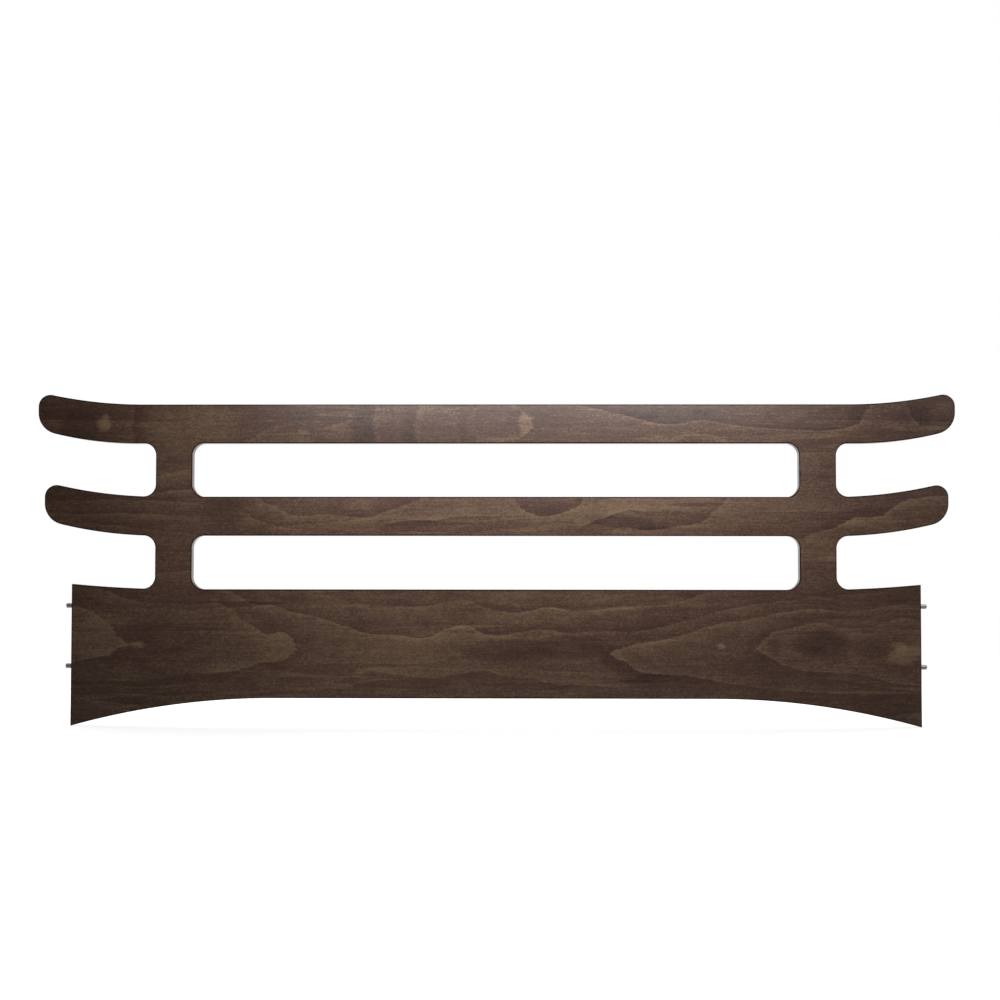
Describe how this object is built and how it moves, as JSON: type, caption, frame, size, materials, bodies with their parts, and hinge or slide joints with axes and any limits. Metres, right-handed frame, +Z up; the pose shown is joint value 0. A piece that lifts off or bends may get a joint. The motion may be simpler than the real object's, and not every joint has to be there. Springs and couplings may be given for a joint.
{
  "type": "bed headboard",
  "caption": "Headboard for a bed, cut from stained plywood in the form of a gateway: upswept rails on posts over an arched lower panel, with steel pins in its ends.",
  "frame": {"origin": "under the middle of the board's thickness and length, level with its two lower corners", "axes": "+X along the headboard to the right as seen from the bed, -Y out of the front face towards the sleeper, +Z up"},
  "size_m": [1.951, 0.027, 0.7037],
  "materials": {
    "stained_face_veneer": "rotary-cut veneer, stained dark brown, satin lacquer",
    "stained_long_veneer": "sanded plywood edge, stained dark brown, satin lacquer",
    "stained_cross_veneer": "sanded plywood edge across the grain, which drinks the stain, satin lacquer",
    "pin_steel": "turned steel, bright, chamfered tip"
  },
  "bodies": {
    "root": {"ply_01_front_face": "stained_face_veneer", "ply_02_cross_grain": "stained_cross_veneer", "ply_03_long_grain": "stained_long_veneer", "ply_04_cross_grain": "stained_cross_veneer", "ply_05_long_grain": "stained_long_veneer", "ply_06_cross_grain": "stained_cross_veneer", "ply_07_long_grain": "stained_long_veneer", "ply_08_cross_grain": "stained_cross_veneer", "ply_09_long_grain": "stained_long_veneer", "ply_10_cross_grain": "stained_cross_veneer", "ply_11_long_grain": "stained_long_veneer", "ply_12_cross_grain": "stained_cross_veneer", "ply_13_long_grain": "stained_long_veneer", "ply_14_cross_grain": "stained_cross_veneer", "ply_15_long_grain": "stained_long_veneer", "ply_16_cross_grain": "stained_cross_veneer", "ply_17_back_face": "stained_face_veneer", "left_upper_pin": "pin_steel", "left_lower_pin": "pin_steel", "right_upper_pin": "pin_steel", "right_lower_pin": "pin_steel"}
  },
  "joints": []
}
